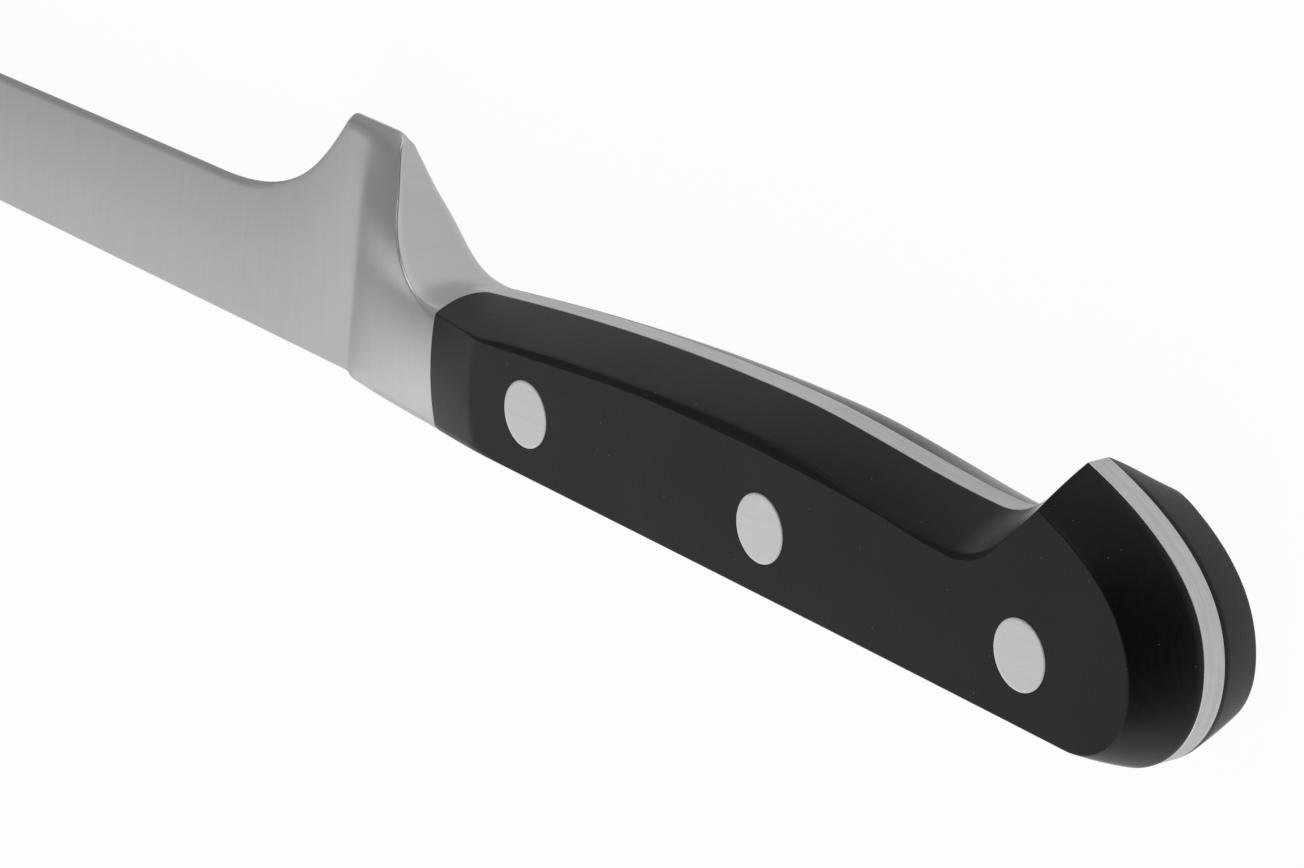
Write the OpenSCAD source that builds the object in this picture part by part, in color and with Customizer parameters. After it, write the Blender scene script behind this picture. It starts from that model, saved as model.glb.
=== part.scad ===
// Fillet knife with a forged bolster and a riveted full-tang handle.
// It lies on its left side. Origin: on the rest face, under the middle rivet's axis.
// +X points to the tip, +Y to the back (spine) of the blade, +Z through the handle.

/* [Handle] */
// Thickness over both scales
handle_t = 16.5; // [14:0.5:19]
// From the middle rivet forward to the joint between bolster and scales
joint_x = 59.15; // [56:0.05:61]
// From the middle rivet back to the rearmost point of the butt
butt_x = 58.2; // [55:0.2:63]
// Height of the back line above the rivet line, at the joint
spine_y = 9.95; // [9.4:0.05:11]
// Rise of the back line from the joint to the butt
back_rise = 0.36; // [0:0.02:0.8]
// Depth of the belly below the rivet line, at the joint
neck_y = 7.47; // [6.6:0.01:8.4]
// Depth of the belly where it is deepest
belly_y = 12.07; // [11:0.01:13.5]
// Depth of the waist in front of the hook
waist_y = 10.4; // [9.6:0.05:10.9]
// From the middle rivet back to the waist
waist_x = 28.5; // [26:0.5:31]
// Depth of the tip of the hook
hook_y = 18.7; // [16:0.1:21]
// From the middle rivet back to the tip of the hook
hook_x = 40.2; // [38:0.1:43]

/* [Scale shaping] */
// Width of the bevel along the belly
bevel_w = 3.0; // [2.4:0.1:4]
// Width of the bevel at the tip of the hook
hook_bevel_w = 3.3; // [2.4:0.1:4]
// Width of the bevel round the butt
butt_bevel_w = 3.05; // [2.2:0.05:4]
// How much narrower the left scale's bevel is round the hook and the butt
left_trim = 0.7; // [0:0.1:1]
// Width of the bevel along the back
back_bevel_w = 2.95; // [2.4:0.05:4]
// Length of the sloped facet at the front of each scale
facet_length = 9.1; // [6:0.1:11]
// Drop of that facet from the flat side to the joint
facet_drop = 1.5; // [0.8:0.1:2]
// Radius of the crown across that facet
facet_crown_r = 34; // [28:1:60]

/* [Tang and rivets] */
// Thickness of the tang
tang_t = 2.7; // [2:0.1:3.4]
// Spacing of the three rivets
rivet_pitch = 39.8; // [36:0.2:42]
// Diameter of a rivet's head
head_d = 7.5; // [6.5:0.1:9]
// Thickness of a rivet's head
head_t = 3.8; // [2.5:0.1:4.5]
// Outer diameter of the socket half's tube
tube_d = 5.0; // [4.2:0.1:5.6]
// Diameter of the stud half's shank, pressed into the tube
stud_d = 3.2; // [2.4:0.1:3.6]
// Radial clearance round a rivet in the scales and the tang
rivet_gap = 0.02; // [0:0.01:0.08]
// Radial clearance between stud and tube
stud_gap = 0.01; // [0:0.01:0.05]
// Gap between the tube's end and the stud half's head
tube_end_gap = 0.5; // [0.2:0.1:1]
// Gap between the shank's end and the socket half's head
stud_end_gap = 1; // [0.2:0.1:2]

/* [Bolster and finger guard] */
// From the middle rivet forward to where the bolster leaves the blade's face
bolster_x = 82; // [79:0.5:86]
// Depth of the finger guard's ridge below the rivet line
guard_y = 20.9; // [18:0.1:23]
// From the middle rivet forward to the ridge's front corner
guard_front_x = 83.8; // [82:0.1:90]
// From the middle rivet forward to the ridge's rear corner
guard_rear_x = 74.2; // [72:0.1:77]
// Thickness of the ridge
guard_t = 1.2; // [0.8:0.1:2]

/* [Blade] */
// From the bolster to the tip
blade_length = 180; // [150:5:210]
// Thickness of the spine at the bolster
spine_t = 2.0; // [1.6:0.1:2.6]
// Thickness of the spine at the tip
tip_t = 0.7; // [0.5:0.1:1.2]
// Thickness left at the cutting edge
edge_t = 0.3; // [0.2:0.05:0.5]
// Depth of the edge below the rivet line, near the guard
heel_y = 7.05; // [6.2:0.05:8]
// Depth of the edge below the rivet line, halfway along the blade
mid_edge_y = 6.1; // [5.2:0.1:7.6]
// Step down from the bolster's back to the spine
spine_set = 0.52; // [0:0.02:1]
// Rise of the spine's straight line over the blade's length
spine_rise = 1.2; // [0:0.1:3]
// Drop of the tip from that line
tip_drop = 4.1; // [1:0.1:6]

/* [Hidden] */
$fn = 96;

steel = "silver";
scale_black = [0.13, 0.13, 0.14];
half_t = handle_t / 2;
half_tang = tang_t / 2;
tip_x = bolster_x + blade_length;
rivet_x = [rivet_pitch, 0, -rivet_pitch];
// Margin by which cutting tools pass a face
eps = 1;

function mix(a, b, k) = a + (b - a) * k;
function clamp(k) = max(0, min(1, k));
function smooth(k) = let (c = clamp(k)) c * c * (3 - 2 * c);
// A point of a cubic curve, and n points of it without the last one
function curve(p, t) =
    pow(1 - t, 3) * p[0] + 3 * t * pow(1 - t, 2) * p[1]
    + 3 * t * t * (1 - t) * p[2] + pow(t, 3) * p[3];
function trace(p, n) = [for (i = [0:n - 1]) curve(p, i / n)];
function straight(a, b, n) = [for (i = [0:n - 1]) mix(a, b, i / n)];

// Outline of a scale
// Slope of the belly where it leaves the joint
neck_slope = 0.148;
// From the middle rivet forward to the deepest point of the belly
belly_x = 2.7;
// Reach of the curves' handles, as shares of the run and the rise between their ends
waist_pull = 0.38;
hook_pull = [0.36, 0.55];
butt_pull = [0.6, 0.2];
heel_pull = 0.5;
round_pull = 0.55;
back_pull = 0.9;
// Closed outline from the belly's end of the joint back round the butt and along the back.
// neck, belly, waist and back are distances from the rivet line, tip and rear are points.
function outline(neck, belly, waist, tip, rear, back) =
    let (
        start = [joint_x, -neck],
        deep = [belly_x, -belly],
        narrow = [-waist_x, -waist],
        high = back + back_rise,
        corner = [rear.x + high - rear.y, high],
        end = [joint_x, back],
        run = [(joint_x - corner.x) / 3, 0],
        fore = [(joint_x - belly_x) / 3, 0],
        aft = [(belly_x + waist_x) / 3, 0],
        hook = tip - narrow,
        butt = rear - tip,
        turn = corner - rear
    )
    concat(
        trace([start, start - fore - [0, neck_slope * fore.x], deep + fore, deep], 14),
        trace([deep, deep - aft, narrow + aft, narrow], 10),
        trace([narrow, narrow + [waist_pull * hook.x, 0],
               tip - [hook_pull.x * hook.x, hook_pull.y * hook.y], tip], 10),
        trace([tip, tip + [butt_pull.x * butt.x, butt_pull.y * butt.y],
               rear - [0, heel_pull * butt.y], rear], 14),
        trace([rear, rear + [0, round_pull * turn.y], corner - [round_pull * turn.x, 0], corner], 10),
        trace([corner, corner + run - [0, back_pull * back_rise], end - run, end], 12),
        [end]
    );

// Outline at the tang's face, with its rearmost point a little below the rivet line
rear_y = 1.8;
tang_outline = outline(
    neck_y, belly_y, waist_y, [-hook_x, -hook_y], [-butt_x, -rear_y], spine_y);
// Outline of a flat side, where the waist and the hook's tip lie a little further in. Its
// bevel round the hook and the butt is narrower by trim.
waist_in = 0.4;
hook_in = 0.7;
rear_in = 1.1;
function side_outline(trim) = outline(
    neck_y - bevel_w, belly_y - bevel_w, waist_y - bevel_w - waist_in,
    [-hook_x - hook_in, hook_bevel_w - trim - hook_y],
    [butt_bevel_w - trim - butt_x, rear_in - rear_y],
    spine_y - back_bevel_w);

// The bevel is nearly flat: a quarter of this share of its width is its crown's height
bevel_crown = 0.18;
// Share of the bevel's width at share u of its height, and the other way round
function bevel(u) = u - bevel_crown * u * (1 - u);
function bevel_height(s) =
    let (slope = 1 - bevel_crown)
    2 * s / (slope + sqrt(slope * slope + 4 * bevel_crown * s));

// Outline of a scale at share u of its thickness, from the tang's face out to the flat side
function scale_ring(side, u) = [
    for (i = [0:len(tang_outline) - 1])
        let (p = mix(tang_outline[i], side[i], bevel(u)))
        [p.x, p.y, mix(half_tang, half_t, u)]
];

// Solid through a stack of rings; cap is the triangles that close one ring
function flip(t) = [t[0], t[2], t[1]];
function ring_faces(m, n, cap) = concat(
    cap,
    [for (i = [0:m - 2], j = [0:n - 1])
        let (a = i * n + j, b = i * n + (j + 1) % n)
        each [[a, a + n, b], [b, a + n, b + n]]],
    [for (t = cap) flip(t) + [1, 1, 1] * (m - 1) * n]
);
module stack(rings, cap) {
    polyhedron([for (r = rings) each r], ring_faces(len(rings), len(rings[0]), cap));
}
// Triangles of an outline whose points run back along the belly and forward along the back:
// i counts up from its first point and j down from its last
function zip_cap(p, i, j) =
    i + 1 >= j ? []
    : p[i + 1].x > p[j - 1].x ? concat([[i, i + 1, j]], zip_cap(p, i + 1, j))
    : concat([[i, j - 1, j]], zip_cap(p, i, j - 1));
// Triangles of a ring of one point on the middle plane and pairs of mirrored points
function mirror_cap(pairs) =
    let (n = 2 * pairs + 1)
    concat(
        [[0, 1, n - 1]],
        [for (j = [1:pairs - 1]) each [[j, j + 1, n - j], [j + 1, n - j - 1, n - j]]]
    );

// Scale of the right side, measured from the middle plane, with the sloped facet at its front
scale_levels = [0:0.25:1];
facet_reach = 4 * facet_length;
module scale_body(trim) {
    side = side_outline(trim);
    difference() {
        stack([for (u = scale_levels) scale_ring(side, u)],
              zip_cap(tang_outline, 0, len(tang_outline) - 1));
        // What stands above the tilted, crowned facet
        translate([joint_x - facet_length, 0, half_t]) difference() {
            translate([-facet_reach, -2 * spine_y, -half_t])
                cube([2 * facet_reach, 4 * spine_y, handle_t]);
            rotate([0, 90 + atan(facet_drop / facet_length), 0])
                translate([facet_crown_r, 0, -2 * facet_reach])
                    cylinder(r = facet_crown_r, h = 4 * facet_reach, $fn = 180);
        }
    }
}

// Bores of the three rivets through both scales and the tang, from the middle plane
hole_d = tube_d + 2 * rivet_gap;
counterbore_d = head_d + 2 * rivet_gap;
module rivet_bores() {
    for (x = rivet_x) translate([x, 0, 0]) {
        translate([0, 0, -half_t - eps]) cylinder(d = hole_d, h = handle_t + 2 * eps);
        for (side = [0, 1]) mirror([0, 0, side])
            translate([0, 0, half_t - head_t]) cylinder(d = counterbore_d, h = head_t + eps);
    }
}

// Profile of the steel from the tip along the edge, up the guard and down to the joint
// Share of the blade's length, and distance in front of the guard, where its curves meet
mid_share = 0.44;
heel_run = 28;
// Reach of the curves' handles, as shares of the run and the rise between their ends
tip_pull = [0.14, 0.4];
mid_pull = [0.5, 0.04];
edge_pull = 0.53;
guard_pull = [0.27, 0.73];
scoop_pull = [0.38, 0.92];
joint_pull = 0.48;
// Half thickness of the bolster at the joint, and share of the scale's bevel that this leaves
joint_half = half_t - facet_drop;
joint_side_y = neck_y - bevel_w / 2;
joint_share = (joint_half - pow(joint_side_y, 2) / (2 * facet_crown_r) - half_tang)
    / (half_t - half_tang);
// Depth of the joint's belly at the sides, less than at the tang
joint_y = neck_y - bevel_w * bevel(joint_share);

blade_tip = [tip_x, spine_y - spine_set + spine_rise - tip_drop];
edge_mid = [bolster_x + mid_share * blade_length, -mid_edge_y];
edge_heel = [guard_front_x + heel_run, -heel_y];
guard_front = [guard_front_x, -guard_y];
guard_rear = [guard_rear_x, -guard_y];
joint_top = [joint_x, -joint_y];
sweep = blade_tip - edge_mid;
rise = guard_front - edge_heel;
scoop = joint_top - guard_rear;
profile = concat(
    trace([blade_tip, blade_tip - [tip_pull.x * sweep.x, tip_pull.y * sweep.y],
           edge_mid + [mid_pull.x * sweep.x, mid_pull.y * sweep.y], edge_mid], 14),
    straight(edge_mid, edge_heel, 4),
    trace([edge_heel, edge_heel + [edge_pull * rise.x, 0],
           guard_front - [guard_pull.x * rise.x, guard_pull.y * rise.y], guard_front], 12),
    straight(guard_front, guard_rear, 8),
    trace([guard_rear, guard_rear + [scoop_pull.x * scoop.x, scoop_pull.y * scoop.y],
           joint_top - [joint_pull * scoop.x, 0], joint_top], 16),
    [joint_top]
);

// Back line: straight for this share of the blade, then easing down to a blunt end of this
// height at the tip
straight_share = 0.4;
tip_h = 0.8;
ease_x = bolster_x + straight_share * blade_length;
// The step from the bolster's back down to the spine starts this far behind the blade's face
// and takes this run
step_back = 0.9;
step_run = 1.6;
function back_y(x) =
    let (
        line = spine_y - spine_set + spine_rise * (x - bolster_x) / blade_length,
        fall = (tip_drop - tip_h / 2) * pow(clamp((x - ease_x) / (tip_x - ease_x)), 2)
    )
    mix(spine_y, line - fall, smooth((x - bolster_x + step_back) / step_run));

// Half thickness of the ground blade: full at the back and thin at the edge,
// where it thickens towards the guard over this length
guard_ease = 12;
function ground_half(x, y, top) =
    let (
        back = back_y(x),
        spine = mix(spine_t, tip_t, clamp((x - bolster_x) / blade_length)),
        edge = mix(guard_t, edge_t, clamp((x - guard_front_x) / guard_ease))
    )
    mix(spine, edge, clamp((back - y) / (back - top))) / 2;

// The bolster's side runs from the blade's face, along a slightly leaning front line, to the
// joint, and nearer the ridge to the guard's rear. guard_share says how far a depth belongs
// to the guard, over a blend of this width.
bolster_lean = 0.1;
side_bulge = 0.5;
guard_blend = 9.5;
guard_slope = 0.345;
function guard_share(y) = smooth((-y - joint_y) / guard_blend);
function rear_x(y) =
    let (slope = scoop_pull.x * scoop.x / (scoop_pull.y * scoop.y))
    mix(joint_x, guard_rear_x + slope * (y + guard_y), guard_share(y));
// Half thickness at that rear limit: crowned at the joint, falling to the guard's ridge
function rear_half(y) =
    mix(joint_half - pow(max(y, -joint_y), 2) / (2 * facet_crown_r),
        guard_t / 2 + guard_slope * (y + guard_y), guard_share(y));
function side_half(x, y, top) =
    let (
        front = bolster_x + bolster_lean * y,
        k = clamp((front - x) / (front - rear_x(y)))
    )
    mix(ground_half(x, y, top), rear_half(y), k * (1 + side_bulge * (1 - k)));

// The bevel along the back, which bolster and scales share
function back_bevel(y) =
    half_tang + (half_t - half_tang) * bevel_height(max(0, spine_y - y) / back_bevel_w);
function bevel_width(half) =
    back_bevel_w * bevel(max(0, half - half_tang) / (half_t - half_tang));
function steel_half(x, y, top) =
    max(ground_half(x, y, top), min(side_half(x, y, top), back_bevel(y)));

// Cross-section of the steel at one point of the profile: from the edge down the right side
// to the crease of the back's bevel, over that bevel, and the same on the left
side_steps = 11;
bevel_steps = 3;
// Crown of the edge itself: slight, and growing to the scales' bevel over this run before the
// joint. Its shoulders lie at these shares of the crown and of the half thickness.
edge_crown = 0.1;
crown_run = 10.7;
edge_shoulder = [0.75, 0.5];
joint_shoulder = [0.9, 0.3];
function steel_ring(p) =
    let (
        flat = clamp((p.x - joint_x) / crown_run),
        crown = mix(neck_y - joint_y, edge_crown, 1 - pow(1 - flat, 2)),
        shoulder = mix(joint_shoulder, edge_shoulder, flat),
        low = max(back_y(p.x), p.y + tip_h),
        crease = low - max(tip_h / 2, bevel_width(side_half(p.x, low - back_bevel_w / 2, p.y))),
        ys = concat(straight(p.y, crease, side_steps), straight(crease, low, bevel_steps), [low]),
        right = concat(
            [[p.x, p.y - shoulder.x * crown, shoulder.y * steel_half(p.x, p.y, p.y)]],
            [for (y = ys) [p.x, y, steel_half(p.x, y, p.y)]])
    )
    concat(
        [[p.x, p.y - crown, 0]],
        right,
        [for (i = [len(right) - 1:-1:0]) [right[i].x, right[i].y, -right[i].z]]
    );

// One forging: blade, bolster with finger guard, and the full tang. The tang reaches this far
// into the bolster, this far in from its back and belly.
root_length = 4;
root_in = 1;
module blade() {
    color(steel) translate([0, 0, half_t]) difference() {
        union() {
            stack([for (p = profile) steel_ring(p)], mirror_cap(side_steps + bevel_steps + 2));
            translate([0, 0, -half_tang]) linear_extrude(tang_t)
                polygon(concat(tang_outline, [
                    [joint_x + root_length, spine_y - root_in],
                    [joint_x + root_length, root_in - joint_y]
                ]));
        }
        rivet_bores();
    }
}

module right_scale() {
    color(scale_black) translate([0, 0, half_t]) difference() {
        scale_body(0);
        rivet_bores();
    }
}
module left_scale() {
    color(scale_black) translate([0, 0, half_t]) difference() {
        mirror([0, 0, 1]) scale_body(left_trim);
        rivet_bores();
    }
}

// Male half of a rivet: a flush head in the right scale and a solid shank
head_gap = handle_t - 2 * head_t;
module rivet_stud(x) {
    color(steel) translate([x, 0, handle_t]) mirror([0, 0, 1]) {
        cylinder(d = head_d, h = head_t);
        cylinder(d = stud_d, h = head_t + head_gap - stud_end_gap);
    }
}
// Female half: a flush head in the left scale and a tube that takes the shank
module rivet_socket(x) {
    tube_l = head_gap - tube_end_gap;
    color(steel) translate([x, 0, 0]) difference() {
        union() {
            cylinder(d = head_d, h = head_t);
            cylinder(d = tube_d, h = head_t + tube_l);
        }
        translate([0, 0, head_t]) cylinder(d = stud_d + 2 * stud_gap, h = tube_l + eps);
    }
}

blade();
right_scale();
left_scale();
rivet_stud(rivet_x[0]);  // front_rivet_stud
rivet_socket(rivet_x[0]);  // front_rivet_socket
rivet_stud(rivet_x[1]);  // middle_rivet_stud
rivet_socket(rivet_x[1]);  // middle_rivet_socket
rivet_stud(rivet_x[2]);  // rear_rivet_stud
rivet_socket(rivet_x[2]);  // rear_rivet_socket
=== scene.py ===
import math
import bmesh
import bpy
import numpy as np
from mathutils import Matrix, Vector
from mathutils.geometry import delaunay_2d_cdt


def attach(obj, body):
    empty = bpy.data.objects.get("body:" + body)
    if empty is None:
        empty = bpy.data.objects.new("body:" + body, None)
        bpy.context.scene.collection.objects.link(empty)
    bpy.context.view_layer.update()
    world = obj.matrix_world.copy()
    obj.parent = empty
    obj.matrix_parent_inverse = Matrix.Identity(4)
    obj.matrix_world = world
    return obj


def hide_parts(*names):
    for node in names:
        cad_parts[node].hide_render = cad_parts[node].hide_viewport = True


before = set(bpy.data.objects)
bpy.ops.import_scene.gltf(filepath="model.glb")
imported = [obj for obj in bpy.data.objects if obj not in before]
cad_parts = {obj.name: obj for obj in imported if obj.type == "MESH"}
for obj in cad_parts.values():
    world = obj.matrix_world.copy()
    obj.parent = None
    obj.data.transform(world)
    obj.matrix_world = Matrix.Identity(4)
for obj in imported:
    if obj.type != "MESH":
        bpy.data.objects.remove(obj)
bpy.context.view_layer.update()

scene = bpy.context.scene
MM = 0.001

# Sizes in millimetres, the same as in the part's source
HANDLE_T = 16.5
JOINT_X, BUTT_X = 59.15, 58.2
SPINE_Y, NECK_Y, BELLY_Y, WAIST_Y, WAIST_X = 9.95, 7.47, 12.07, 10.4, 28.5
HOOK_X, HOOK_Y, BACK_RISE = 40.2, 18.7, 0.36
BEVEL_W, HOOK_BEVEL_W, BUTT_BEVEL_W, BACK_BEVEL_W = 3.0, 3.3, 3.05, 2.95
BEVEL_CROWN, LEFT_TRIM = 0.18, 0.7
FACET_L, FACET_DROP, FACET_R = 9.1, 1.5, 34
TANG_T, RIVET_PITCH, HEAD_D, HEAD_T, TUBE_D, STUD_D = 2.7, 39.8, 7.5, 3.8, 5.0, 3.2
RIVET_GAP, STUD_GAP, TUBE_END_GAP, STUD_END_GAP = 0.02, 0.01, 0.5, 1
BOLSTER_X, GUARD_Y, GUARD_FRONT_X, GUARD_REAR_X, GUARD_T = 82, 20.9, 83.8, 74.2, 1.2
BLADE_L, SPINE_T, TIP_T, EDGE_T = 180, 2.0, 0.7, 0.3
HEEL_Y, MID_EDGE_Y, TIP_DROP = 7.05, 6.1, 4.1
SPINE_SET, SPINE_RISE = 0.52, 1.2

HALF_T = HANDLE_T / 2
HALF_TANG = TANG_T / 2
TIP_X = BOLSTER_X + BLADE_L
RIVETS = {"front": RIVET_PITCH, "middle": 0, "rear": -RIVET_PITCH}
HOLE_R = TUBE_D / 2 + RIVET_GAP
BORE_R = HEAD_D / 2 + RIVET_GAP
# Hairline that shows where two pieces meet
LINE = 0.05
CIRCLE = 96


def clamp(k):
    return np.clip(k, 0, 1)


def smooth(k):
    c = clamp(k)
    return c * c * (3 - 2 * c)


def mix(a, b, k):
    return a + (b - a) * k


def soft_min(a, b, w):
    h = np.maximum(w - np.abs(a - b), 0) / w
    return np.minimum(a, b) - h * h * w / 4


def trace(points, n, extra=()):
    """n points of a cubic curve, without its last one, and some more at the shares extra."""
    t = np.sort(np.append(np.arange(n) / n, extra))[:, None]
    a, b, c, d = (np.array(p, float) for p in points)
    return (1 - t) ** 3 * a + 3 * t * (1 - t) ** 2 * b + 3 * t * t * (1 - t) * c + t ** 3 * d


def straight(a, b, n):
    """n points of a straight line, without its last one."""
    return mix(np.array(a, float), np.array(b, float), np.arange(n)[:, None] / n)


def bend(s, c, e, n):
    """n + 1 points of a rounding from s over the corner c to e."""
    t = np.linspace(0, 1, n + 1)[:, None]
    return (1 - t) ** 2 * s + 2 * t * (1 - t) * c + t * t * e


# Outline of a scale and of the tang, in six stretches with these numbers of points
FORE_N, AFT_N, HOOK_N, BUTT_N, TURN_N, BACK_N = 56, 36, 40, 56, 40, 60
# Distances from the joint at which it has more points, for the tang's root fillet
NEAR_JOINT = np.array([0.05, 0.15, 0.3, 0.5, 0.75, 1.25, 1.6, 2.4, 2.8, 3.2])
# Slope of the belly at the joint, and the place where the belly is deepest
NECK_SLOPE, BELLY_X = 0.148, 2.7
# Reach of the curves' handles, as shares of the run and the rise between their ends
WAIST_PULL, HOOK_PULL, BUTT_PULL = 0.38, (0.36, 0.55), (0.6, 0.2)
HEEL_PULL, ROUND_PULL, BACK_PULL = 0.5, 0.55, 0.9


def outline(neck, belly, waist, tip, rear, back):
    """From the belly's end of the joint, round the butt, to the back's end of the joint."""
    start, deep, narrow = (np.array(p, float) for p in (
        (JOINT_X, -neck), (BELLY_X, -belly), (-WAIST_X, -waist)))
    tip, rear, end = (np.array(p, float) for p in (tip, rear, (JOINT_X, back)))
    high = back + BACK_RISE
    corner = np.array([rear[0] + high - rear[1], high])
    run = np.array([(JOINT_X - corner[0]) / 3, 0])
    fore = np.array([(JOINT_X - BELLY_X) / 3, 0])
    aft = np.array([(BELLY_X + WAIST_X) / 3, 0])
    hook, butt, turn = tip - narrow, rear - tip, corner - rear
    return np.concatenate([
        trace([start, start - fore - [0, NECK_SLOPE * fore[0]], deep + fore, deep], FORE_N,
              NEAR_JOINT / (JOINT_X - BELLY_X)),
        trace([deep, deep - aft, narrow + aft, narrow], AFT_N),
        trace([narrow, narrow + [WAIST_PULL * hook[0], 0], tip - hook * HOOK_PULL, tip], HOOK_N),
        trace([tip, tip + butt * BUTT_PULL, rear - [0, HEEL_PULL * butt[1]], rear], BUTT_N),
        trace([rear, rear + [0, ROUND_PULL * turn[1]], corner - [ROUND_PULL * turn[0], 0], corner],
              TURN_N),
        trace([corner, corner + run - [0, BACK_PULL * BACK_RISE], end - run, end], BACK_N,
              1 - NEAR_JOINT[::-1] / (JOINT_X - corner[0])),
        [end],
    ])


REAR_Y = 1.8
TANG_LINE = outline(NECK_Y, BELLY_Y, WAIST_Y, (-HOOK_X, -HOOK_Y), (-BUTT_X, -REAR_Y), SPINE_Y)
# On a flat side the waist lies this much further in, the hook's tip this much further back and
# the rearmost point this much further up
WAIST_IN, HOOK_IN, REAR_IN = 0.4, 0.7, 1.1


def side_line(trim):
    """Outline of a flat side whose bevel is narrower by trim round the hook and the butt."""
    return outline(
        NECK_Y - BEVEL_W, BELLY_Y - BEVEL_W, WAIST_Y - BEVEL_W - WAIST_IN,
        (-HOOK_X - HOOK_IN, HOOK_BEVEL_W - trim - HOOK_Y),
        (BUTT_BEVEL_W - trim - BUTT_X, REAR_IN - REAR_Y), SPINE_Y - BACK_BEVEL_W)


SIDE_LINE = side_line(0)
LEFT_LINE = side_line(LEFT_TRIM)
# Directions across the bevel, from the tang's outline towards the flat side's
INWARD = SIDE_LINE - TANG_LINE
INWARD = INWARD / np.linalg.norm(INWARD, axis=1)[:, None]
# Places along the outline of the hook's tip and the butt's top corner
HOOK_TIP = FORE_N + len(NEAR_JOINT) + AFT_N + HOOK_N
BUTT_TOP = HOOK_TIP + BUTT_N + TURN_N
# The left scale's crease is rounded at the hook, over this many places to each side
HOOK_EASE = 11
LEFT_LINE[HOOK_TIP - HOOK_EASE:HOOK_TIP + HOOK_EASE + 1] = bend(
    LEFT_LINE[HOOK_TIP - HOOK_EASE], LEFT_LINE[HOOK_TIP], LEFT_LINE[HOOK_TIP + HOOK_EASE],
    2 * HOOK_EASE)
SCALE_H = HALF_T - HALF_TANG
# Height of the upright band beside the tang round the butt, as a share of a scale's height,
# and the numbers of places over which it comes in at the hook and goes out at the butt's top
BUTT_BAND = 0.45 / SCALE_H
BAND_IN, BAND_OUT = 12, 16
# Fillet at the tang's root, between the tang's side and the bolster's rear
ROOT_R = 3.3
ROOT_Z = HALF_TANG + ROOT_R
# Gap between a scale's front and the bolster. A point nearer the joint than ROOT_END, which
# lies between this gap and the first of NEAR_JOINT, has the fillet's full height.
FRONT_GAP, ROOT_END = 0.045, 0.048
# Curvature across the flat side where the facet starts, and the softness of its crease
START_CROWN, FACET_EASE = 0.0055, 0.06


def bevel(u):
    """How far the crowned bevel has run in, as a share of its width, at share u of its height."""
    return u - BEVEL_CROWN * u * (1 - u)


def bevel_height(share):
    """The other way round: the share of the height at which it has run in by share."""
    flat = 1 - BEVEL_CROWN
    return (np.sqrt(flat * flat + 4 * BEVEL_CROWN * share) - flat) / (2 * BEVEL_CROWN)


def butt_share(i):
    """How far place i of the outline belongs to the butt, from 0 to 1."""
    return float(smooth((i - HOOK_TIP) / BAND_IN) * smooth((BUTT_TOP - i) / BAND_OUT))


def bevel_point(i, u, line=SIDE_LINE):
    """A point of the scale's bevel over place i of the outline."""
    run = mix(bevel(u), bevel(max(0, (u - BUTT_BAND) / (1 - BUTT_BAND))), butt_share(i))
    x, y = mix(TANG_LINE[i], line[i], run)
    return np.array([x, y, mix(HALF_TANG, HALF_T, u)])


def root_z(x):
    """Height over the middle plane of the face between tang and scale, with its fillet."""
    d = min(JOINT_X - x, ROOT_R)
    if d < ROOT_END:
        return ROOT_Z
    return ROOT_Z - math.sqrt(ROOT_R ** 2 - (ROOT_R - d) ** 2)


def root_share(i):
    """Share of the bevel's height that the fillet takes at place i of the outline."""
    u = 0
    for _ in range(8):
        u = (root_z(bevel_point(i, u)[0]) - HALF_TANG) / SCALE_H
    return u


def top_z(x, y):
    """Height of the scale's flat side over the middle plane, with the crowned facet."""
    run = np.maximum(x - JOINT_X + FACET_L, 0) / FACET_L
    hollow = np.minimum(x - JOINT_X + FACET_L, 0) * FACET_DROP / FACET_L
    crown = y * y * mix(START_CROWN, 1 / (2 * FACET_R), run)
    facet = HALF_T - hollow - run * FACET_DROP - crown
    return soft_min(HALF_T + 0 * x, facet, FACET_EASE)


# Meshes are made of patches that share their borders and are welded at the end. Edges sharper
# than this many degrees are shaded as such.
SHARP = 32


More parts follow.
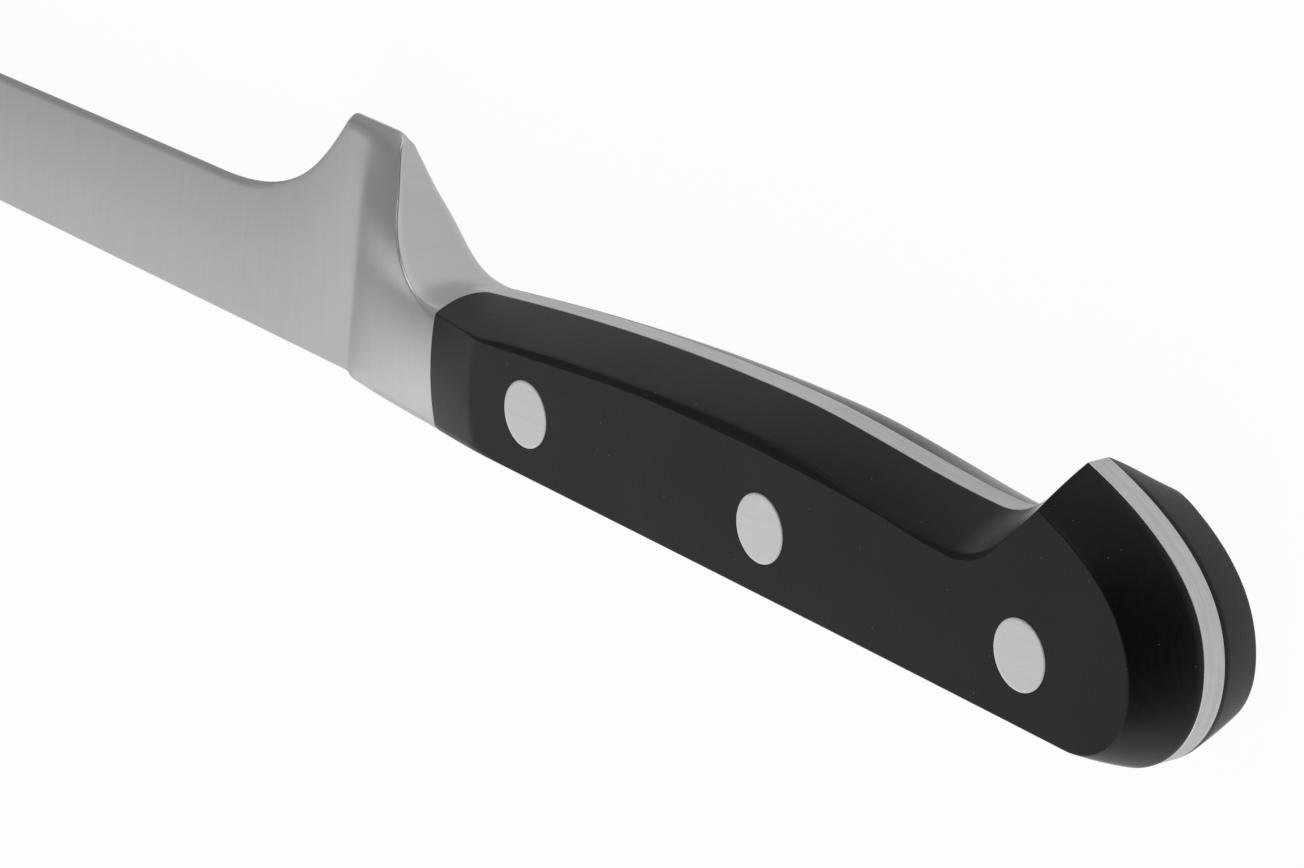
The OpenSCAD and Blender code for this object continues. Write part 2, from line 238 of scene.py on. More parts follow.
class Mesh:
    """Each point has a place in the map "grain", in metres, whose first axis runs with the
    grinding marks, and a "wear" of 1 on edges that use has polished."""

    def __init__(self, grain):
        self.grain = grain
        self.verts, self.faces, self.uvs, self.wear, self.slots = [], [], [], [], []

    def add(self, verts, faces, uvs=None, wear=None, slot=0):
        base = len(self.verts)
        verts = [tuple(float(c) for c in v) for v in verts]
        self.verts += verts
        self.faces += [[base + i for i in f] for f in faces]
        self.uvs += uvs or [self.grain(v[0], v[1]) for v in verts]
        self.wear += wear or [0.0] * len(verts)
        self.slots += [slot] * len(faces)

    def grid(self, rows, closed=False, along=False, wear=None, slot=0):
        """A patch through equal rows of points, ground from row to row if along is set."""
        m, n = len(rows), len(rows[0])
        wrap = n if closed else n - 1
        faces = [[i * n + j, i * n + (j + 1) % n, (i + 1) * n + (j + 1) % n, (i + 1) * n + j]
                 for i in range(m - 1) for j in range(wrap)]
        uvs = None
        if along:
            pts = np.array(rows, float)
            u = np.cumsum([0, *np.linalg.norm(np.diff(pts[:, 0], axis=0), axis=1)])
            steps = np.linalg.norm(np.diff(pts, axis=1), axis=2)
            v = np.concatenate([np.zeros((m, 1)), np.cumsum(steps, axis=1)], axis=1)
            uvs = [(u[i], v[i, j]) for i in range(m) for j in range(n)]
        self.add([p for row in rows for p in row], faces, uvs, wear, slot)

    def cap(self, loop, lift, holes=(), inner=()):
        """A patch inside a closed plane loop, round its circular holes (x, y, radius)."""
        pts = [Vector(p) for p in loop]
        n = len(pts)
        edges = []
        for cx, cy, r in holes:
            first = len(pts)
            pts += [Vector((cx + r * c, cy + r * s)) for c, s in CIRCLE_CS]
            edges += [(first + i, first + (i + 1) % CIRCLE) for i in range(CIRCLE)]
        pts += [Vector(p) for p in inner]
        co, _, tris, *_ = delaunay_2d_cdt(pts, edges, [list(range(n))], 1, 1e-7)
        keep = []
        for t in tris:
            mid = sum((co[i] for i in t), Vector((0, 0))) / len(t)
            if all((mid - Vector((cx, cy))).length > r * 0.999 for cx, cy, r in holes):
                keep.append(list(t))
        self.add([lift(p[0], p[1]) for p in co], keep)

    def turned(self, profile, cx):
        """A patch turned round the upright axis at (cx, 0) from a profile of (radius, z)."""
        rows = [[(cx + r * c, r * s, z) for c, s in CIRCLE_CS] for r, z in profile]
        self.grid(rows, closed=True)

    def build(self, name, flip=False):
        me = bpy.data.meshes.new(name)
        sign = -1 if flip else 1
        me.from_pydata([Vector((x, y, HALF_T + sign * z)) * MM for x, y, z in self.verts],
                       [], self.faces)
        uvs = me.uv_layers.new(name="grain").uv
        corners = np.array([c for f in self.faces for c in f])
        uvs.foreach_set("vector", (np.array(self.uvs)[corners] * MM).ravel())
        me.attributes.new("wear", "FLOAT", "POINT").data.foreach_set("value", self.wear)
        me.polygons.foreach_set("material_index", self.slots)
        bm = bmesh.new()
        bm.from_mesh(me)
        bmesh.ops.remove_doubles(bm, verts=bm.verts, dist=1e-7)
        bmesh.ops.dissolve_degenerate(bm, edges=bm.edges, dist=1e-8)
        bmesh.ops.recalc_face_normals(bm, faces=bm.faces)
        open_edges = sum(1 for e in bm.edges if len(e.link_faces) != 2)
        print("mesh", name, len(bm.verts), "points,", len(bm.faces), "faces,", open_edges, "open")
        bm.to_mesh(me)
        bm.free()
        me.shade_smooth()
        me.set_sharp_from_angle(angle=math.radians(SHARP))
        obj = bpy.data.objects.new(name, me)
        scene.collection.objects.link(obj)
        return obj


ANGLES = np.arange(CIRCLE) * 2 * math.pi / CIRCLE
CIRCLE_CS = [(math.cos(a), math.sin(a)) for a in ANGLES]


def ground_across(x, y):
    return y, x


def ground_along(x, y):
    return x + 0.1 * y, y - 0.1 * x


# Scales
# Width of the eased crease on the flat side, along the belly: (x, width)
EASE = [(-39, 0.1), (-36.5, 0.2), (-34, 0.6), (-31, 0.5), (-24, 0.35), (-19, 0.12), (-14, 0.25),
        (-3, 0.8), (6, 0.82), (17, 0.6), (24, 0.52), (36, 0.6), (45, 0.45), (52, 0.1)]
# The same round the left scale's butt
LEFT_EASE = 1.1
# Outer radius of the flat ring round a rivet's bore
RING_R = BORE_R + LINE + 0.25


def ease_width(i):
    x = SIDE_LINE[i][0]
    if i < HOOK_TIP:
        return float(np.interp(x, *zip(*EASE)))
    return mix(0.1, 0.6, smooth((x - 44) / 8))


def scale_column(i, line, left):
    """Points from the tang's face up the bevel and over the crease onto the flat side."""
    def bevel_at(u):
        return bevel_point(i, u, line)

    d = line[i] - TANG_LINE[i]
    d = d / np.linalg.norm(d)
    low = root_share(i)
    lo, hi = 0.0, 1.0
    for _ in range(30):
        u = (lo + hi) / 2
        q = bevel_at(u)
        if q[2] > top_z(q[0], q[1]) - (1e-9 if u == 1 else 0):
            hi = u
        else:
            lo = u
    crease = bevel_at(lo)
    ease = mix(ease_width(i), LEFT_EASE, left * butt_share(i))
    us = np.linspace(low, lo, 200)
    run = np.array([np.linalg.norm(bevel_at(u) - crease) for u in us])
    u_start = us[np.argmin(np.abs(run - 0.85 * ease))]
    u_turn = us[np.argmin(np.abs(run - 0.5 * ease))]

    def on_side(run):
        x, y = crease[:2] + d * run
        return np.array([x, y, top_z(x, y)])

    foot = bevel_at(low) + [*(d * LINE), 0]
    foot[2] = root_z(foot[0]) + LINE / 4
    band = low + BUTT_BAND
    col = [foot, bevel_at(low + LINE / SCALE_H), bevel_at(low + BUTT_BAND / 2), bevel_at(band)]
    col += [bevel_at(u) for u in np.linspace(band, u_start, 15)[1:-1]]
    # Soft on the bevel's side of the crease, crisp on the flat side
    rim = min(0.3 * ease, 0.06)
    chamfer = bend(bevel_at(u_start), bevel_at(u_turn), on_side(ease), 6)
    last = mix(chamfer[-2], chamfer[-1], 1 - rim / max(ease, 0.1))
    over = on_side(ease + rim)
    return col + list(chamfer[:-1]) + [last, mix(mix(last, over, 0.5), on_side(ease), 0.5), over,
                                       on_side(ease + rim + 0.15)]


def scale(name, line, flip):
    m = Mesh(ground_across)
    columns = [scale_column(i, line, flip) for i in range(len(TANG_LINE))]
    for c in (columns[0], columns[-1]):
        for k in range(len(c)):
            c[k] = c[k] - [FRONT_GAP, 0, 0]
        c[-1][2] = top_z(c[-1][0], c[-1][1])
    wear = [1, 1, 0.3] + [0] * 14 + [0, 0, 0, 0.1, 0.2, 0.5, 0.8, 1, 0.5, 0]
    m.grid(columns, along=True, wear=wear * len(columns))
    first, last = columns[0][-1], columns[-1][-1]
    front_x = first[0]
    ys = np.linspace(last[1], first[1], 26)[1:-1]
    front = [np.array([front_x, y, top_z(np.float64(front_x), y)]) for y in ys]
    rim = [c[-1] for c in columns]
    loop = [p[:2] for p in rim + front]
    rings = [(x, 0, RING_R) for x in RIVETS.values()]
    # Points of the crowned facet, clear of its rim and of the front rivet
    inner = []
    margin = 0.4
    belly = rim[:FORE_N]
    for x in np.arange(JOINT_X - FACET_L - 6, JOINT_X - 0.3, 0.5):
        lo = np.interp(-x, [-p[0] for p in belly], [p[1] for p in belly]) + margin
        hi = rim[-1][1] - margin
        for y in np.linspace(lo, hi, 24):
            if math.hypot(x - RIVET_PITCH, y) > BORE_R + 0.6:
                inner.append((x, y))
    m.cap(loop, lambda x, y: (x, y, top_z(np.float64(x), y)), rings, inner)
    for x in RIVETS.values():
        m.turned([(RING_R, HALF_T), (BORE_R + LINE, HALF_T),
                  (BORE_R, HALF_T - LINE), (BORE_R, HALF_T - HEAD_T),
                  (HOLE_R, HALF_T - HEAD_T), (HOLE_R, HALF_TANG + LINE / 4)], x)
    foot = [c[0] for c in columns]
    m.cap([p[:2] for p in foot], lambda x, y: (x, y, root_z(x) + LINE / 4),
          [(x, 0, HOLE_R) for x in RIVETS.values()], ROOT_GRID)
    face = list(columns[0]) + front[::-1] + list(columns[-1][::-1])
    m.cap([p[1:] for p in face], lambda y, z: (front_x, y, z))
    return m.build(name, flip=flip)


# Steel: profile from the tip along the edge, up the guard and down to the joint
# Half thickness of the bolster at the joint, and share of the scale's bevel that this leaves
JOINT_HALF = HALF_T - FACET_DROP
JOINT_SIDE_Y = NECK_Y - BEVEL_W / 2
JOINT_SHARE = (JOINT_HALF - JOINT_SIDE_Y ** 2 / (2 * FACET_R) - HALF_TANG) / SCALE_H
JOINT_Y = NECK_Y - BEVEL_W * bevel(JOINT_SHARE)
# Share of the blade's length, and distance in front of the guard, where its curves meet
MID_SHARE, HEEL_RUN = 0.44, 28
# Reach of the curves' handles, as shares of the run and the rise between their ends
TIP_PULL, MID_PULL, EDGE_PULL = (0.14, 0.4), (0.5, 0.04), 0.53
GUARD_PULL, SCOOP_PULL, JOINT_PULL = (0.27, 0.73), (0.38, 0.92), 0.48
TIP = np.array([TIP_X, SPINE_Y - SPINE_SET + SPINE_RISE - TIP_DROP])
EDGE_MID = np.array([BOLSTER_X + MID_SHARE * BLADE_L, -MID_EDGE_Y])
EDGE_HEEL = np.array([GUARD_FRONT_X + HEEL_RUN, -HEEL_Y])
GUARD_FRONT = np.array([GUARD_FRONT_X, -GUARD_Y])
GUARD_REAR = np.array([GUARD_REAR_X, -GUARD_Y])
JOINT_TOP = np.array([JOINT_X, -JOINT_Y])
SWEEP, RISE, SCOOP = TIP - EDGE_MID, GUARD_FRONT - EDGE_HEEL, JOINT_TOP - GUARD_REAR


def rounded(points, corner, reach, n):
    """The polyline with the corner nearest to the given point rounded over a reach."""
    pts = np.array(points)
    k = int(np.argmin(np.linalg.norm(pts - corner, axis=1)))
    before = [p for p in pts[:k] if np.linalg.norm(p - corner) > reach]
    after = [p for p in pts[k + 1:] if np.linalg.norm(p - corner) > reach]

    def towards(p):
        return corner + (p - corner) / np.linalg.norm(p - corner) * reach

    arc = bend(towards(before[-1]), np.array(corner), towards(after[0]), n)
    return np.array(before + list(arc) + after)


PROFILE = np.concatenate([
    trace([TIP, TIP - SWEEP * TIP_PULL, EDGE_MID + SWEEP * MID_PULL, EDGE_MID], 60),
    straight(EDGE_MID, EDGE_HEEL, 24),
    trace([EDGE_HEEL, EDGE_HEEL + [EDGE_PULL * RISE[0], 0], GUARD_FRONT - RISE * GUARD_PULL,
           GUARD_FRONT], 110),
    straight(GUARD_FRONT, GUARD_REAR, 44),
    trace([GUARD_REAR, GUARD_REAR + SCOOP * SCOOP_PULL, JOINT_TOP - [JOINT_PULL * SCOOP[0], 0],
           JOINT_TOP], 120),
    [JOINT_TOP],
])
PROFILE = rounded(PROFILE, GUARD_FRONT, 0.7, 6)
PROFILE = rounded(PROFILE, GUARD_REAR, 1.5, 10)

# The back line is straight for this share of the blade, then eases down to the tip, which is
# twice TIP_HALF high
STRAIGHT_SHARE, TIP_HALF = 0.4, 0.1
EASE_X = BOLSTER_X + STRAIGHT_SHARE * BLADE_L
# The step from the bolster's back to the spine starts this far behind the blade's face
STEP_BACK, STEP_RUN = 0.9, 1.6
# The edge thickens towards the guard over this run, and the faces swell by this much
GUARD_EASE, CONVEX = 12, 0.16
BOLSTER_LEAN, SIDE_BULGE, GUARD_BLEND, GUARD_SLOPE = 0.1, 0.5, 9.5, 0.345
# Softness of the bolster's front line by the guard and by the back, and of the back's crease
GUARD_SOFT, BACK_SOFT, CREASE_SOFT = 1.1, 0.4, 1.2


def back_y(x):
    """Back line, with a small step down from the bolster to the blade's spine."""
    line = SPINE_Y - SPINE_SET + SPINE_RISE * (x - BOLSTER_X) / BLADE_L
    fall = (TIP_DROP - TIP_HALF) * clamp((x - EASE_X) / (TIP_X - EASE_X)) ** 2
    return mix(SPINE_Y, line - fall, smooth((x - BOLSTER_X + STEP_BACK) / STEP_RUN))


def ground_half(x, y, top):
    """Half thickness of the ground blade, with faces a little convex."""
    back = back_y(x)
    spine = mix(SPINE_T, TIP_T, clamp((x - BOLSTER_X) / BLADE_L))
    edge = mix(GUARD_T, EDGE_T, clamp((x - GUARD_FRONT_X) / GUARD_EASE))
    share = clamp((back - y) / (back - top))
    return mix(spine, edge, share) / 2 + 4 * CONVEX * share * (1 - share) * spine / SPINE_T


def guard_share(y):
    """How far a depth belongs to the guard, from 0 to 1."""
    return smooth((-y - JOINT_Y) / GUARD_BLEND)


def rear_x(y):
    """Rear limit of the bolster's side: the joint, and lower down the guard's rear."""
    slope = SCOOP_PULL[0] * SCOOP[0] / (SCOOP_PULL[1] * SCOOP[1])
    return mix(JOINT_X, GUARD_REAR_X + slope * (y + GUARD_Y), guard_share(y))


def rear_half(y):
    """Half thickness at that limit, crowned at the joint and falling to the guard's ridge."""
    joint = JOINT_HALF - np.maximum(y, -JOINT_Y) ** 2 / (2 * FACET_R)
    return mix(joint, GUARD_T / 2 + GUARD_SLOPE * (y + GUARD_Y), guard_share(y))


def side_half(x, y, top):
    """Half thickness of the bolster's side, from the blade's face to the rear limit."""
    front = BOLSTER_X + BOLSTER_LEAN * y
    run = front - rear_x(y)
    t = (front - x) / run
    w = mix(GUARD_SOFT, BACK_SOFT, smooth((y + 5) / 10)) / run
    k = np.minimum((t + np.sqrt(t * t + w * w)) / 2, 1)
    k = np.where(t > 1 - 1e-9, 1, k)
    return mix(ground_half(x, y, top), rear_half(y), k * (1 + SIDE_BULGE * (1 - k)))


def back_bevel(y):
    """Half thickness under the bevel along the back, which bolster and scales share."""
    return HALF_TANG + SCALE_H * bevel_height(np.maximum(0, SPINE_Y - y) / BACK_BEVEL_W)


def bevel_width(half):
    return BACK_BEVEL_W * bevel(np.maximum(0, half - HALF_TANG) / SCALE_H)


def steel_half(x, y, top):
    side = soft_min(side_half(x, y, top), back_bevel(y), CREASE_SOFT)
    return np.maximum(ground_half(x, y, top), side)


# How far the profile's rounded edge reaches up the side: on the blade, on the guard, on the
# guard's eased rear edge, on its ridge in front and behind, and at the joint
BLADE_IN, GUARD_IN, EASED_IN, RIDGE_IN, JOINT_IN = 0.45, 0.12, 0.4, (0.7, 2.0), 0.9
# How far it reaches down the half thickness there. On the blade and along the ridge this is
# instead the half thickness that it leaves.
BLADE_LEFT, GUARD_DROP, EASED_DROP, RIDGE_LEFT, JOINT_DROP = 0.03, 0.12, 0.4, 0.14, 0.74
# The guard's rounding ends at this place, fading over GUARD_EASE, and the crown of the edge
# grows to the scales' bevel over this run before the joint
GUARD_END, CROWN_RUN = 106, 10.7


def steel_column(i):
    """Half a cross-section, from the middle of the edge up the right side to the back."""
    x, y0 = PROFILE[i]
    before, after = PROFILE[max(i - 1, 0)], PROFILE[min(i + 1, len(PROFILE) - 1)]
    along = (after - before) / np.linalg.norm(after - before)
    lean = max(abs(along[0]), 0.3)
    back = max(float(back_y(x)), y0 + 0.12)
    height = back - y0
    # Sharpened edge in front, rounded guard behind
    guard = float(smooth((GUARD_END - x) / GUARD_EASE))
    flat_run = float(clamp((x - JOINT_X) / CROWN_RUN))
    crown = mix(NECK_Y - JOINT_Y, mix(0.02, 0.1, guard), 1 - (1 - flat_run) ** 2)
    near_joint = float(smooth((JOINT_X + 5 - x) / 5))
    ridge = float(clamp((GUARD_FRONT_X - x) / (GUARD_FRONT_X - GUARD_REAR_X)))
    # Guard's rear edge: eased, and more so below. Its front edge is tight.
    soft = mix(0.5, 1, float(smooth((y0 + 16) / 6))) * (i > RIDGE_END)
    inset = mix(mix(BLADE_IN, GUARD_IN, guard), EASED_IN, soft)
    facet = float(smooth((-y0 - GUARD_Y + 1.2) / 1.2)) * guard
    inset = mix(inset, mix(*RIDGE_IN, ridge), facet)
    inset = mix(inset, JOINT_IN, near_joint) / lean
    inset = min(inset, 0.35 * height)
    corner_z = float(steel_half(x, y0, y0))
    guard_drop = mix(min(GUARD_DROP, 0.5 * corner_z), EASED_DROP, soft)
    drop = mix(corner_z - BLADE_LEFT, guard_drop, guard)
    drop = mix(drop, corner_z - RIDGE_LEFT, facet)
    drop = mix(drop, JOINT_DROP, near_joint)
    size = corner_z / JOINT_CORNER
    flat = HALF_TANG * size
    start_z = corner_z - drop
    sharp = clamp(1 - (x - JOINT_X) / 6) * JOINT_FLAT

    def bottom_y(z):
        share = clamp((z - flat) / (corner_z - flat))
        return y0 - crown * (1 - mix(share ** 2, share, sharp))

    first = min(flat, 0.3 * start_z)
    root = min(ROOT_Z * size, 0.9 * start_z)
    line = min(LINE, 0.1 * root, 0.5 * first)
    low = [0, first - line, *np.linspace(first, root - line, 6), root, (root + start_z) / 2]
    points = [(float(bottom_y(z)), z) for z in low]
    start = np.array([float(bottom_y(start_z)), start_z])
    end_y = y0 + inset
    end = np.array([end_y, float(steel_half(x, end_y, y0))])
    corner = mix((start + end) / 2, np.array([y0, corner_z]), guard * mix(1, 0.3, facet))
    points += [tuple(p) for p in bend(start, corner, end, 7)]
    chamfer = mix(0.12, 0.01, near_joint) * min(1, height / 3)
    top_half = float(steel_half(x, back, y0))
    width = float(bevel_width(side_half(x, back - BACK_BEVEL_W / 2, y0)))
    crease = back - max(0.4 * min(1, height / 3), width)
    crease = max(crease, end_y + 0.3 * height)
    reach = min(0.8, 0.25 * (back - chamfer - crease))
    ys = list(np.linspace(end_y, crease - reach, 23)[1:])
    ys += list(np.linspace(crease - reach, crease + reach, 10)[1:])
    points += [(y, float(steel_half(x, y, y0))) for y in ys]
    levels = np.array([ROOT_Z, *np.linspace(ROOT_Z - LINE, HALF_TANG, 6)[:-1]])
    for y, level in zip(np.linspace(crease + reach, back - chamfer, 7)[1:], levels):
        y = float(mix(y, back - bevel_width(level), near_joint))
        points.append((y, float(mix(steel_half(x, y, y0), level, near_joint))))
    top_edge = max(top_half - chamfer, 0.5 * top_half)
    if near_joint > 0.999:
        top_edge = top_half
    points += [(back, top_edge), (back, max(top_edge - LINE, 0.4 * top_half)), (back, 0)]
    return [np.array([x, y, z]) for y, z in points]


JOINT_CORNER = float(steel_half(np.float64(JOINT_X), -JOINT_Y, -JOINT_Y))
# How far the section at the joint is straight rather than crowned with the square of its height
JOINT_FLAT = (1 - BEVEL_CROWN) / (1 - BEVEL_CROWN + BEVEL_CROWN * JOINT_SHARE)
RIDGE_END = int(np.argmin(np.linalg.norm(PROFILE - GUARD_REAR, axis=1)))
# Places inside the root's fillet, for the faces that meet there
ROOT_GRID = [(JOINT_X - d, y) for d in (0.1, 0.25, 0.45, 0.7, 1, 1.4, 1.9, 2.5, 3.1)
             for y in np.linspace(1 - JOINT_Y, SPINE_Y - BACK_BEVEL_W + 1, 10)]


def steel(name):
    m = Mesh(ground_across)
    columns = [steel_column(i) for i in range(len(PROFILE))]
    joint = columns[-1]
    wear = [0] * 9 + [0.3, 0.6, 0.9, 1, 1, 0.9, 0.6, 0.3, 0] + [0] * 36 + [0.6, 1, 0.5, 0]
    # The tang's edge, from the near side's rim to the middle
    rows = [joint[8::-1]]
    for i in range(1, len(TANG_LINE) - 1):
        low = root_share(i)
        edge = bevel_point(i, low) + [*(INWARD[i] * LINE), 0]
        edge[2] = root_z(edge[0])
        a = TANG_LINE[i]
        row = [edge]
        top = mix(HALF_TANG, HALF_T, low) - LINE
        for z in [top, *np.linspace(top, min(HALF_TANG, top), 6)[1:], HALF_TANG - LINE, 0]:
            high = z > HALF_TANG
            row.append(bevel_point(i, (z - HALF_TANG) / SCALE_H) if high else np.array([*a, z]))
        rows.append(row)
    rows.append(joint[-9:])
    for side in (1, -1):
        face = np.array([1, 1, side])
        m.grid([[p * face for p in c] for c in columns], wear=wear * len(columns))
        m.cap([p[1:] for p in joint[8:-8]], lambda y, z: (JOINT_X, y, side * z))
        m.cap([r[0][:2] for r in rows], lambda x, y: (x, y, side * root_z(x)),
              [(x, 0, HOLE_R) for x in RIVETS.values()], ROOT_GRID)
    tip = columns[0] + [p * [1, 1, -1] for p in columns[0][-2:0:-1]]
    m.add(tip, [range(len(tip))])
    rows = [r + [p * [1, 1, -1] for p in r[-2::-1]] for r in rows]
    worn = [0.4, 0.2, 0, 0, 0, 0, 0, 0.2, 0, 0.2, 0, 0, 0, 0, 0, 0.2, 0.4]
    m.grid(rows, along=True, wear=worn * len(rows), slot=1)
    for x in RIVETS.values():
        m.turned([(HOLE_R, HALF_TANG), (HOLE_R, -HALF_TANG)], x)
    return m.build(name)


# Rivets
def rivet_half(name, x, profile, flip):
    m = Mesh(ground_along)
    m.turned(profile, x)
    top_r, top = profile[0]
    ring = [(x + top_r * c, top_r * s) for c, s in CIRCLE_CS]
    m.cap(ring, lambda px, py: (px, py, top))
    end_r, end = profile[-1]
    ring = [(x + end_r * c, end_r * s) for c, s in CIRCLE_CS]
    m.cap(ring, lambda px, py: (px, py, end))
    return m.build(name, flip=flip)


def rivets():
    head = HEAD_D / 2
    under = HALF_T - HEAD_T
    rim = [(head - 0.35, HALF_T), (head - 0.05, HALF_T), (head - 0.015, HALF_T - 0.015),
           (head, HALF_T - 0.05), (head, under)]
    shank_end = -under + STUD_END_GAP
    tube_end = -under + TUBE_END_GAP
    tube, bore = TUBE_D / 2, STUD_D / 2 + STUD_GAP
    stud_profile = rim + [(STUD_D / 2, under), (STUD_D / 2, shank_end + 0.2),
                          (STUD_D / 2 - 0.2, shank_end)]
    socket_profile = rim + [(tube, under), (tube, tube_end), (bore, tube_end), (bore, under)]
    made = []
    for place, x in RIVETS.items():
        made.append((rivet_half(f"{place}_rivet_head", x, stud_profile, False),
                     f"{place}_rivet_stud"))
        made.append((rivet_half(f"{place}_rivet_tube", x, socket_profile, True),
                     f"{place}_rivet_socket"))
    return made


steel_obj = steel("forged_steel")
right_obj = scale("right_handle_scale", SIDE_LINE, False)
left_obj = scale("left_handle_scale", LEFT_LINE, True)
rivet_objs = rivets()

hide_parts("blade")
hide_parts("right_scale")
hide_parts("left_scale")
for obj, node in rivet_objs:
    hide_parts(node)
    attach(obj, "root")
for obj in (steel_obj, right_obj, left_obj):
    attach(obj, "root")


# Materials
class Material:
    """A node material, whose nodes are added one call at a time."""

    def __init__(self, name, **constants):
        self.mat = bpy.data.materials.new(name)
        self.mat.use_nodes = True
        self.tree = self.mat.node_tree
        self.shader = self.tree.nodes["Principled BSDF"]
        for key, value in constants.items():
            self.shader.inputs[key.replace("_", " ")].default_value = value

    def node(self, kind, links=(), values=(), **settings):
        n = self.tree.nodes.new("ShaderNode" + kind)
        for key, value in settings.items():
            setattr(n, key, value)
        for place, value in values:
            n.inputs[place].default_value = value
        for place, socket in links:
            self.tree.links.new(socket, n.inputs[place])
        return n

    def drive(self, place, socket):
        self.tree.links.new(socket, self.shader.inputs[place])

    def noise(self, place, scale, detail=2):
        """Noise of about -1 to 1 with the given repeats per metre along each axis."""
        stretched = self.node("Mapping", [("Vector", place)], [("Scale", scale)])
        grain = self.node("TexNoise", [("Vector", stretched.outputs[0])],
                          [("Scale", 1), ("Detail", detail), ("Roughness", 0.6)])
        spread = self.node("MapRange", [("Value", grain.outputs[0])],
                           [("From Min", 0.3), ("From Max", 0.7), ("To Min", -1), ("To Max", 1)],
                           clamp=False)
        return spread.outputs[0]

    def math(self, operation, *terms):
        n = self.node("Math", operation=operation)
        for socket, term in zip(n.inputs, terms):
            if isinstance(term, (int, float)):
                socket.default_value = term
            else:
                self.tree.links.new(term, socket)
        return n.outputs[0]

    def total(self, base, *parts):
        """base plus each (amount, socket)."""
        value = base
        for amount, socket in parts:
            value = self.math("MULTIPLY_ADD", socket, amount, value)
        return value

    def bump(self, height, strength, distance):
        n = self.node("Bump", [("Height", height)],
                      [("Strength", strength), ("Distance", distance)])
        self.drive("Normal", n.outputs[0])


def ground_steel(name, base, rough, marks, blotch, depth):
    """Steel with grinding marks: contrast of the marks and of the broad unevenness."""
    m = Material(name, Metallic=1)
    grain = m.node("UVMap", uv_map="grain").outputs[0]
    here = m.node("TexCoord").outputs["Object"]
    wear = m.node("Attribute", attribute_name="wear").outputs["Fac"]
    fine = m.noise(grain, (160, 7000, 1))
    coarse = m.noise(grain, (60, 1300, 1), 1)
    broad = m.noise(here, (45, 45, 45), 1)
    m.drive("Base Color", m.total(base, (marks, fine), (marks / 2, coarse), (blotch, broad),
                                  (0.12, wear)))
    m.drive("Roughness", m.total(rough, (0.02, fine), (0.015, broad), (-0.05, wear)))
    m.bump(m.total(0, (0.7, fine), (0.3, coarse)), depth, 0.00001)
    return m


steel = ground_steel("satin_steel", 0.6, 0.36, 0.014, 0.008, 0.25)
strip = ground_steel("strip_steel", 0.57, 0.36, 0.06, 0.035, 0.6)
rivet = ground_steel("rivet_steel", 0.71, 0.36, 0.02, 0.005, 0.3)

# Black polymer: sanded, with a few specks of dust
black = Material("black_polymer", Specular_IOR_Level=0.25)
grain = black.node("UVMap", uv_map="grain").outputs[0]
here = black.node("TexCoord").outputs["Object"]
wear = black.node("Attribute", attribute_name="wear").outputs["Fac"]
sanded = black.noise(grain, (350, 5000, 1))
pores = black.noise(here, (4000, 4000, 4000), 1)
broad = black.noise(here, (70, 70, 70), 1)
cells = black.node("TexVoronoi", [("Vector", grain)], [("Scale", 650)], voronoi_dimensions="2D")
near = black.math("LESS_THAN", cells.outputs["Distance"], 0.045)
chosen = black.math("GREATER_THAN", black.node(
    "SeparateColor", [(0, cells.outputs["Color"])]).outputs[0], 0.975)
speck = black.math("MULTIPLY", near, chosen)
# A satin surface turns glossier at a glance, from this value of Facing on
GLANCE = 0.86
facing = black.node("LayerWeight", values=[("Blend", 0.5)]).outputs["Facing"]
glance = black.math("SUBTRACT", black.math("MAXIMUM", facing, GLANCE), GLANCE)
black.drive("Base Color", black.total(0.0034, (0.001, sanded), (0.0006, broad), (0.006, wear),
                                      (0.12, speck)))
black.drive("Roughness", black.total(0.37, (0.03, sanded), (0.02, pores), (0.03, broad),
                                     (-0.06, wear), (0.4, speck), (-2.4, glance)))
black.bump(black.total(0, (0.6, sanded), (0.4, pores)), 0.35, 0.00001)

for mat in (steel, strip):
    steel_obj.data.materials.append(mat.mat)
for obj, _ in rivet_objs:
    obj.data.materials.append(rivet.mat)
for obj in (right_obj, left_obj):
    obj.data.materials.append(black.mat)

# Floor, a hair below the knife
FLOOR_R, FLOOR_Z = 2.5, -0.0001
bm = bmesh.new()
bmesh.ops.create_circle(bm, cap_ends=True, segments=CIRCLE, radius=FLOOR_R)
floor_mesh = bpy.data.meshes.new("floor")
bm.to_mesh(floor_mesh)
bm.free()
floor = bpy.data.objects.new("floor", floor_mesh)
floor.location = (0, 0, FLOOR_Z)
scene.collection.objects.link(floor)
# Matt white, and white as the background to the camera and, less, in reflections
white = Material("floor_white", Base_Color=(0.9, 0.9, 0.9, 1), Roughness=0.8)
path = white.node("LightPath").outputs
mirrored = white.math("MAXIMUM", path["Is Glossy Ray"], path["Is Transmission Ray"])
share = white.total(0, (0.5, mirrored), (0.96, path["Is Camera Ray"]))
glow = white.node("Emission", values=[("Color", (1, 1, 1, 1)), ("Strength", 1)])
blend = white.node("MixShader", [(0, share), (1, white.shader.outputs[0]), (2, glow.outputs[0])])
white.tree.links.new(blend.outputs[0], white.tree.nodes["Material Output"].inputs[0])
floor_mesh.materials.append(white.mat)

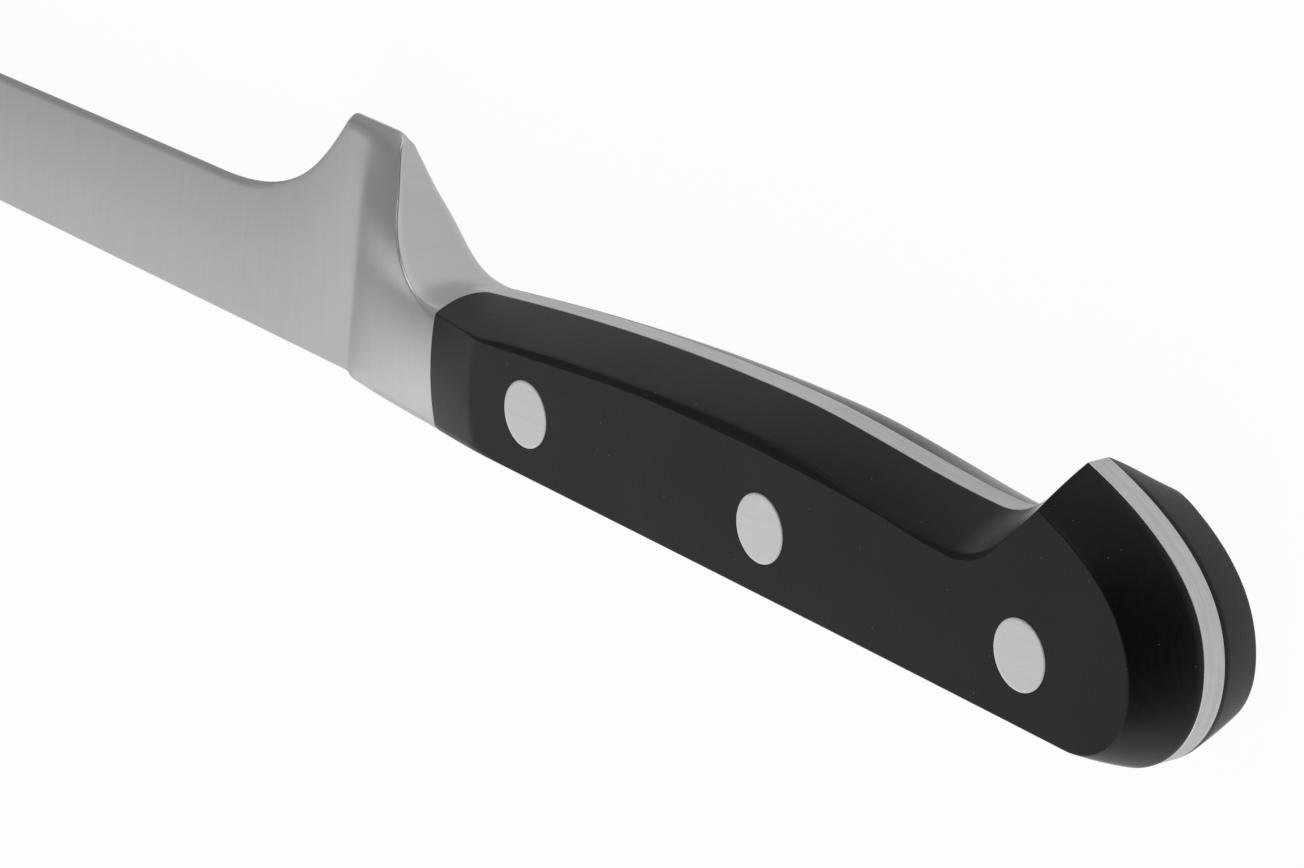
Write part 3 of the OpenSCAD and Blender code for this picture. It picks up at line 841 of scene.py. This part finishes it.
# Light
world = bpy.data.worlds.new("studio")
scene.world = world
world.use_nodes = True
world.node_tree.nodes["Background"].inputs["Color"].default_value = (1, 1, 1, 1)
world.node_tree.nodes["Background"].inputs["Strength"].default_value = 0.05
LAMP_DISTANCE = 1.2
# The lamps point at this place in the handle, under the front rivet
LAMP_AIM = Vector((0.04, 0, 0.008))


def lamp(name, elevation, azimuth, width, height, radiance):
    """A soft box over the knife, seen from it at the given angles."""
    data = bpy.data.lights.new(name, "AREA")
    data.shape = "RECTANGLE"
    data.size, data.size_y = width, height
    data.energy = radiance * math.pi * width * height
    obj = bpy.data.objects.new(name, data)
    el, az = math.radians(elevation), math.radians(azimuth)
    towards = Vector((math.cos(el) * math.cos(az), math.cos(el) * math.sin(az), math.sin(el)))
    obj.location = LAMP_AIM + towards * LAMP_DISTANCE
    obj.rotation_euler = (-towards).to_track_quat("-Z", "Y").to_euler()
    scene.collection.objects.link(obj)


lamp("tip_fill", 30, -16, 1.4, 1.25, 0.26)
lamp("window", 23, 24, 0.36, 1.0, 0.7)
lamp("low_window", 15, 36, 0.6, 0.45, 0.35)
lamp("side_fill", 30, 58, 1.0, 1.25, 0.74)
lamp("back_low", 16, 103, 1.0, 0.75, 1.25)
lamp("back_key", 46, 130, 1.25, 1.1, 1.3)
lamp("edge_fill", 32, 283, 1.0, 0.9, 1.15)
lamp("top_fill", 75, 210, 0.7, 0.7, 0.6)

# Camera, solved from the photograph
camera_data = bpy.data.cameras.new("camera")
camera = bpy.data.objects.new("camera", camera_data)
scene.collection.objects.link(camera)
right = Vector((-0.61594, -0.04389, -0.78657))
up = Vector((0.29471, -0.93879, -0.17839))
back = right.cross(up)
up = back.cross(right)
pose = Matrix((right.normalized(), up.normalized(), back.normalized())).transposed().to_4x4()
pose.translation = Vector((-0.39955, -0.19991, 0.35441))
camera.matrix_world = pose
camera_data.sensor_width = 36
camera_data.lens = 151.84
camera_data.clip_start = 0.02
camera_data.clip_end = 20
scene.camera = camera
scene.view_settings.view_transform = "Standard"
